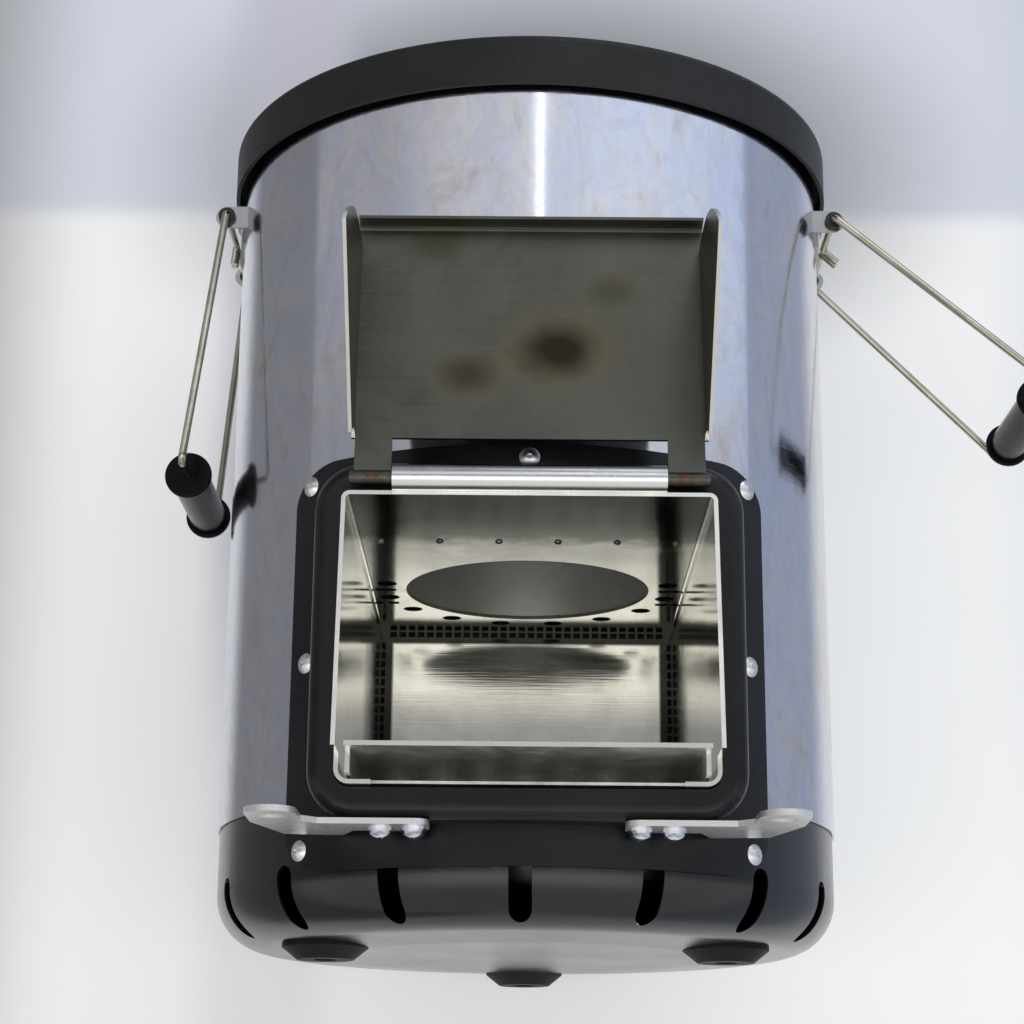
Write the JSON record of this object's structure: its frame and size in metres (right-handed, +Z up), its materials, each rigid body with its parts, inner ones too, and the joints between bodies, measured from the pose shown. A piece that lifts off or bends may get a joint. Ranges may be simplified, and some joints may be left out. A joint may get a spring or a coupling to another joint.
{
  "type": "camping stove",
  "caption": "Round wood-burning rocket camping stove with a front firebox, swing-up door, sliding fuel shelf, cast pot stand and bail handles.",
  "frame": {"origin": "centre of the circle of the three feet, on the surface that the stove stands on", "axes": "+Z up along the riser's axis, -Y towards the door and firebox mouth, +X towards the right-hand handle as seen from the front"},
  "size_m": [0.3584, 0.3219, 0.342],
  "materials": {
    "stainless_body": "polished stainless steel with faint heat tint and smudges",
    "black_coat": "satin black powder coat",
    "ring_coat": "matte black high-temperature paint",
    "cast_deck": "matte, heat-darkened",
    "cast_iron": "matte, rough cast",
    "foot_rubber": "matte black",
    "zinc_screw": "bright zinc plate, slightly blue",
    "rivet_alu": "satin",
    "galvanised": "dull galvanised",
    "firebox_steel": "mill-finish stainless, lightly heat-stained",
    "shelf_steel": "dull, dusty steel",
    "door_steel": "dark olive-grey mill steel with heat blotches",
    "tube_steel": "satin tube",
    "rod_steel": "dark oiled rod",
    "bright_steel": "polished",
    "bail_wire": "warm nickel plate",
    "grip_plastic": "glossy black",
    "bushing_plastic": "matte black",
    "insulation": "ceramic-fibre blanket"
  },
  "bodies": {
    "stove": {"base_pan": "black_coat", "foot_left": "foot_rubber", "foot_right": "foot_rubber", "foot_rear": "foot_rubber", "foot_screws": "zinc_screw", "foot_nuts": "zinc_screw", "floor_plate": "galvanised", "body_shell": "stainless_body", "seam_rivets": "rivet_alu", "top_ring": "ring_coat", "top_deck": "cast_deck", "pot_stand": "cast_iron", "riser_tube": "firebox_steel", "riser_jacket": "galvanised", "riser_insulation": "insulation", "firebox_insulation": "insulation", "inner_liner": "galvanised", "firebox_shell": "firebox_steel", "firebox_back": "firebox_steel", "firebox_floor": "shelf_steel", "firebox_support": "galvanised", "front_plate": "black_coat", "front_rivets": "rivet_alu", "hinge_tube": "tube_steel", "left_bracket": "bright_steel", "right_bracket": "bright_steel", "bracket_screws": "zinc_screw", "bracket_washers": "zinc_screw", "bracket_nuts": "zinc_screw", "left_handle_bracket": "bright_steel", "right_handle_bracket": "bright_steel", "handle_rivets": "rivet_alu", "left_bushings": "bushing_plastic", "right_bushings": "bushing_plastic"},
    "door": {"door_panel": "door_steel", "hinge_rod": "rod_steel"},
    "shelf": {"fuel_shelf": "shelf_steel"},
    "left_bail": {"left_bail_wire": "bail_wire"},
    "right_bail": {"right_bail_wire": "bail_wire"},
    "left_grip": {"left_grip": "grip_plastic"},
    "right_grip": {"right_grip": "grip_plastic"}
  },
  "joints": [
    {"name": "door_hinge", "type": "hinge", "parent": "stove", "child": "door", "pos_m": [0, -0.137, 0.1568], "axis": [1, 0, 0], "range_deg": [0, 180.1]},
    {"name": "shelf_slide", "type": "slide", "parent": "stove", "child": "shelf", "axis": [0, 1, 0], "range_m": [-0.11, 0]},
    {"name": "left_bail_swing", "type": "hinge", "parent": "stove", "child": "left_bail", "pos_m": [-0.124, 0, 0.2995], "axis": [0, 1, 0], "range_deg": [-3.7, 181.3]},
    {"name": "right_bail_swing", "type": "hinge", "parent": "stove", "child": "right_bail", "pos_m": [0.124, 0, 0.2995], "axis": [0, -1, 0], "range_deg": [-45, 140]},
    {"name": "left_grip_spin", "type": "hinge", "parent": "left_bail", "child": "left_grip", "pos_m": [-0.13498, 0, 0.18955], "axis": [0, 1, 0], "continuous": true},
    {"name": "right_grip_spin", "type": "hinge", "parent": "right_bail", "child": "right_grip", "pos_m": [0.20481, 0, 0.22414], "axis": [0, 1, 0], "continuous": true}
  ]
}
